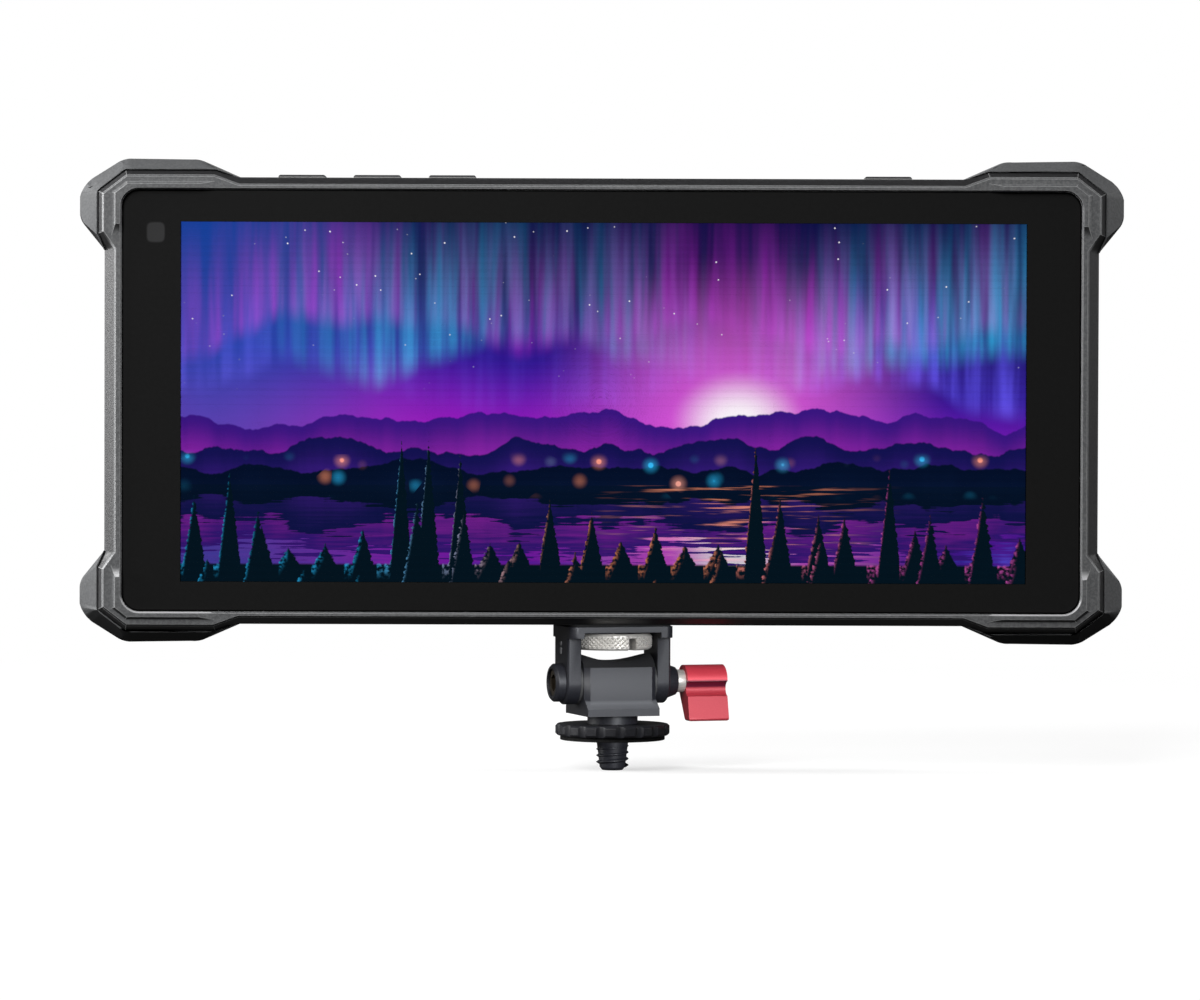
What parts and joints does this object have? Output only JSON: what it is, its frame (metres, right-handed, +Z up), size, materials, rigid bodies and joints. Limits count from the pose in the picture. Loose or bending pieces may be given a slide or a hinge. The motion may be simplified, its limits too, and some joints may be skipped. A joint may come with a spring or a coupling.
{
  "type": "camera field monitor",
  "caption": "Wide flat field monitor with swollen corner guards and top push buttons, on a tilting clamp mount with a red tension lever and a threaded camera stud.",
  "frame": {"origin": "on the camera stud's axis, in the plane where the lock ring's pad meets the camera", "axes": "+Z up along the stud, the screen faces -Y, +X to the right seen from the screen side"},
  "size_m": [0.2032, 0.0324, 0.1193],
  "materials": {
    "frame_paint": "fine textured grey paint over cast alloy",
    "shell_plastic": "fine spark texture, near black",
    "guard_rubber": "matt moulded grey",
    "cover_glass": "anti-glare, black printed border",
    "screen": "lit picture",
    "backlight": "white diffuser stack",
    "foam": "closed-cell foam tape",
    "sensor": "smoked lens",
    "sheet_steel": "zinc plated",
    "circuit_board": "green solder mask",
    "chips": "moulded epoxy",
    "pale_gum": "soft filled silicone",
    "heat_sink": "extruded, plain",
    "ribbon": "amber film",
    "screw_steel": "black oxide",
    "brass": "plain turned",
    "jack_plastic": "moulded nylon",
    "button_plastic": "satin grey",
    "latch_plastic": "satin dark grey",
    "spring_steel": "plain wire",
    "anodised_black": "satin black anodised aluminium",
    "pad_rubber": "thin matt rubber",
    "silver_steel": "turned, bright",
    "washer_nylon": "plain nylon",
    "red_anodised": "red anodised aluminium"
  },
  "bodies": {
    "base": {"hinge_block": "anodised_black", "base_stud": "anodised_black"},
    "lock_ring": {"lock_ring": "anodised_black", "ring_pad": "pad_rubber"},
    "bracket": {"tilt_bracket": "anodised_black", "bracket_pad": "pad_rubber", "hinge_bolt": "silver_steel", "hinge_cap": "anodised_black", "friction_washer_left": "washer_nylon", "friction_washer_right": "washer_nylon", "thrust_washer": "anodised_black"},
    "thumb_screw": {"thumb_screw": "silver_steel", "screw_clip": "spring_steel"},
    "lever": {"tension_lever": "red_anodised", "lever_collar": "silver_steel"},
    "menu_button": {"menu_button": "button_plastic"},
    "left_button": {"left_button": "button_plastic"},
    "right_button": {"right_button": "button_plastic"},
    "power_button": {"power_button": "button_plastic"},
    "latch": {"battery_latch": "latch_plastic"},
    "monitor": {"front_frame": "frame_paint", "rear_shell": "shell_plastic", "battery_plate": "shell_plastic", "corner_guard_top_left": "guard_rubber", "corner_guard_top_right": "guard_rubber", "corner_guard_bottom_left": "guard_rubber", "corner_guard_bottom_right": "guard_rubber", "cover_glass": "cover_glass", "lcd_panel": "screen", "backlight_unit": "backlight", "glass_gasket": "foam", "light_sensor": "sensor", "panel_tray": "sheet_steel", "video_input": "sheet_steel", "video_output": "sheet_steel", "data_port": "sheet_steel", "main_board": "circuit_board", "button_board": "circuit_board", "board_chips": "chips", "tact_switches": "chips", "thermal_pad": "pale_gum", "heat_sink": "heat_sink", "panel_ribbon": "ribbon", "case_screws": "screw_steel", "plate_screws": "screw_steel", "board_screws": "screw_steel", "board_posts": "brass", "mount_insert": "brass", "battery_contacts": "brass", "power_jack": "jack_plastic", "headphone_jack": "jack_plastic", "latch_spring": "spring_steel"}
  },
  "joints": [
    {"name": "tilt", "type": "hinge", "parent": "base", "child": "bracket", "pos_m": [0, 0, 0.0113], "axis": [0.9511, 0.309, 0], "range_deg": [-80, 80]},
    {"name": "swivel", "type": "hinge", "parent": "bracket", "child": "monitor", "pos_m": [0, 0, 0.0229], "axis": [0, 0, 1], "continuous": true},
    {"name": "thumb_screw_turn", "type": "hinge", "parent": "bracket", "child": "thumb_screw", "pos_m": [0, 0, 0.0192], "axis": [0, 0, 1], "continuous": true},
    {"name": "lever_turn", "type": "hinge", "parent": "bracket", "child": "lever", "pos_m": [0, 0, 0.0113], "axis": [0.9511, 0.309, 0], "range_deg": [0, 180]},
    {"name": "lock_ring_turn", "type": "hinge", "parent": "base", "child": "lock_ring", "pos_m": [0, 0, 0.002], "axis": [0, 0, 1], "continuous": true},
    {"name": "menu_button_press", "type": "slide", "parent": "monitor", "child": "menu_button", "axis": [0, 0, -1], "range_m": [0, 0.0005], "stiffness_N_per_m": 2000, "springref_m": -0.0003},
    {"name": "left_button_press", "type": "slide", "parent": "monitor", "child": "left_button", "axis": [0, 0, -1], "range_m": [0, 0.0005], "stiffness_N_per_m": 2000, "springref_m": -0.0003},
    {"name": "right_button_press", "type": "slide", "parent": "monitor", "child": "right_button", "axis": [0, 0, -1], "range_m": [0, 0.0005], "stiffness_N_per_m": 2000, "springref_m": -0.0003},
    {"name": "power_button_press", "type": "slide", "parent": "monitor", "child": "power_button", "axis": [0, 0, -1], "range_m": [0, 0.0005], "stiffness_N_per_m": 2000, "springref_m": -0.0003},
    {"name": "latch_press", "type": "slide", "parent": "monitor", "child": "latch", "axis": [0, -1, 0], "range_m": [0, 0.0016], "stiffness_N_per_m": 1200, "springref_m": -0.0008, "deforming": ["latch_spring"]}
  ]
}
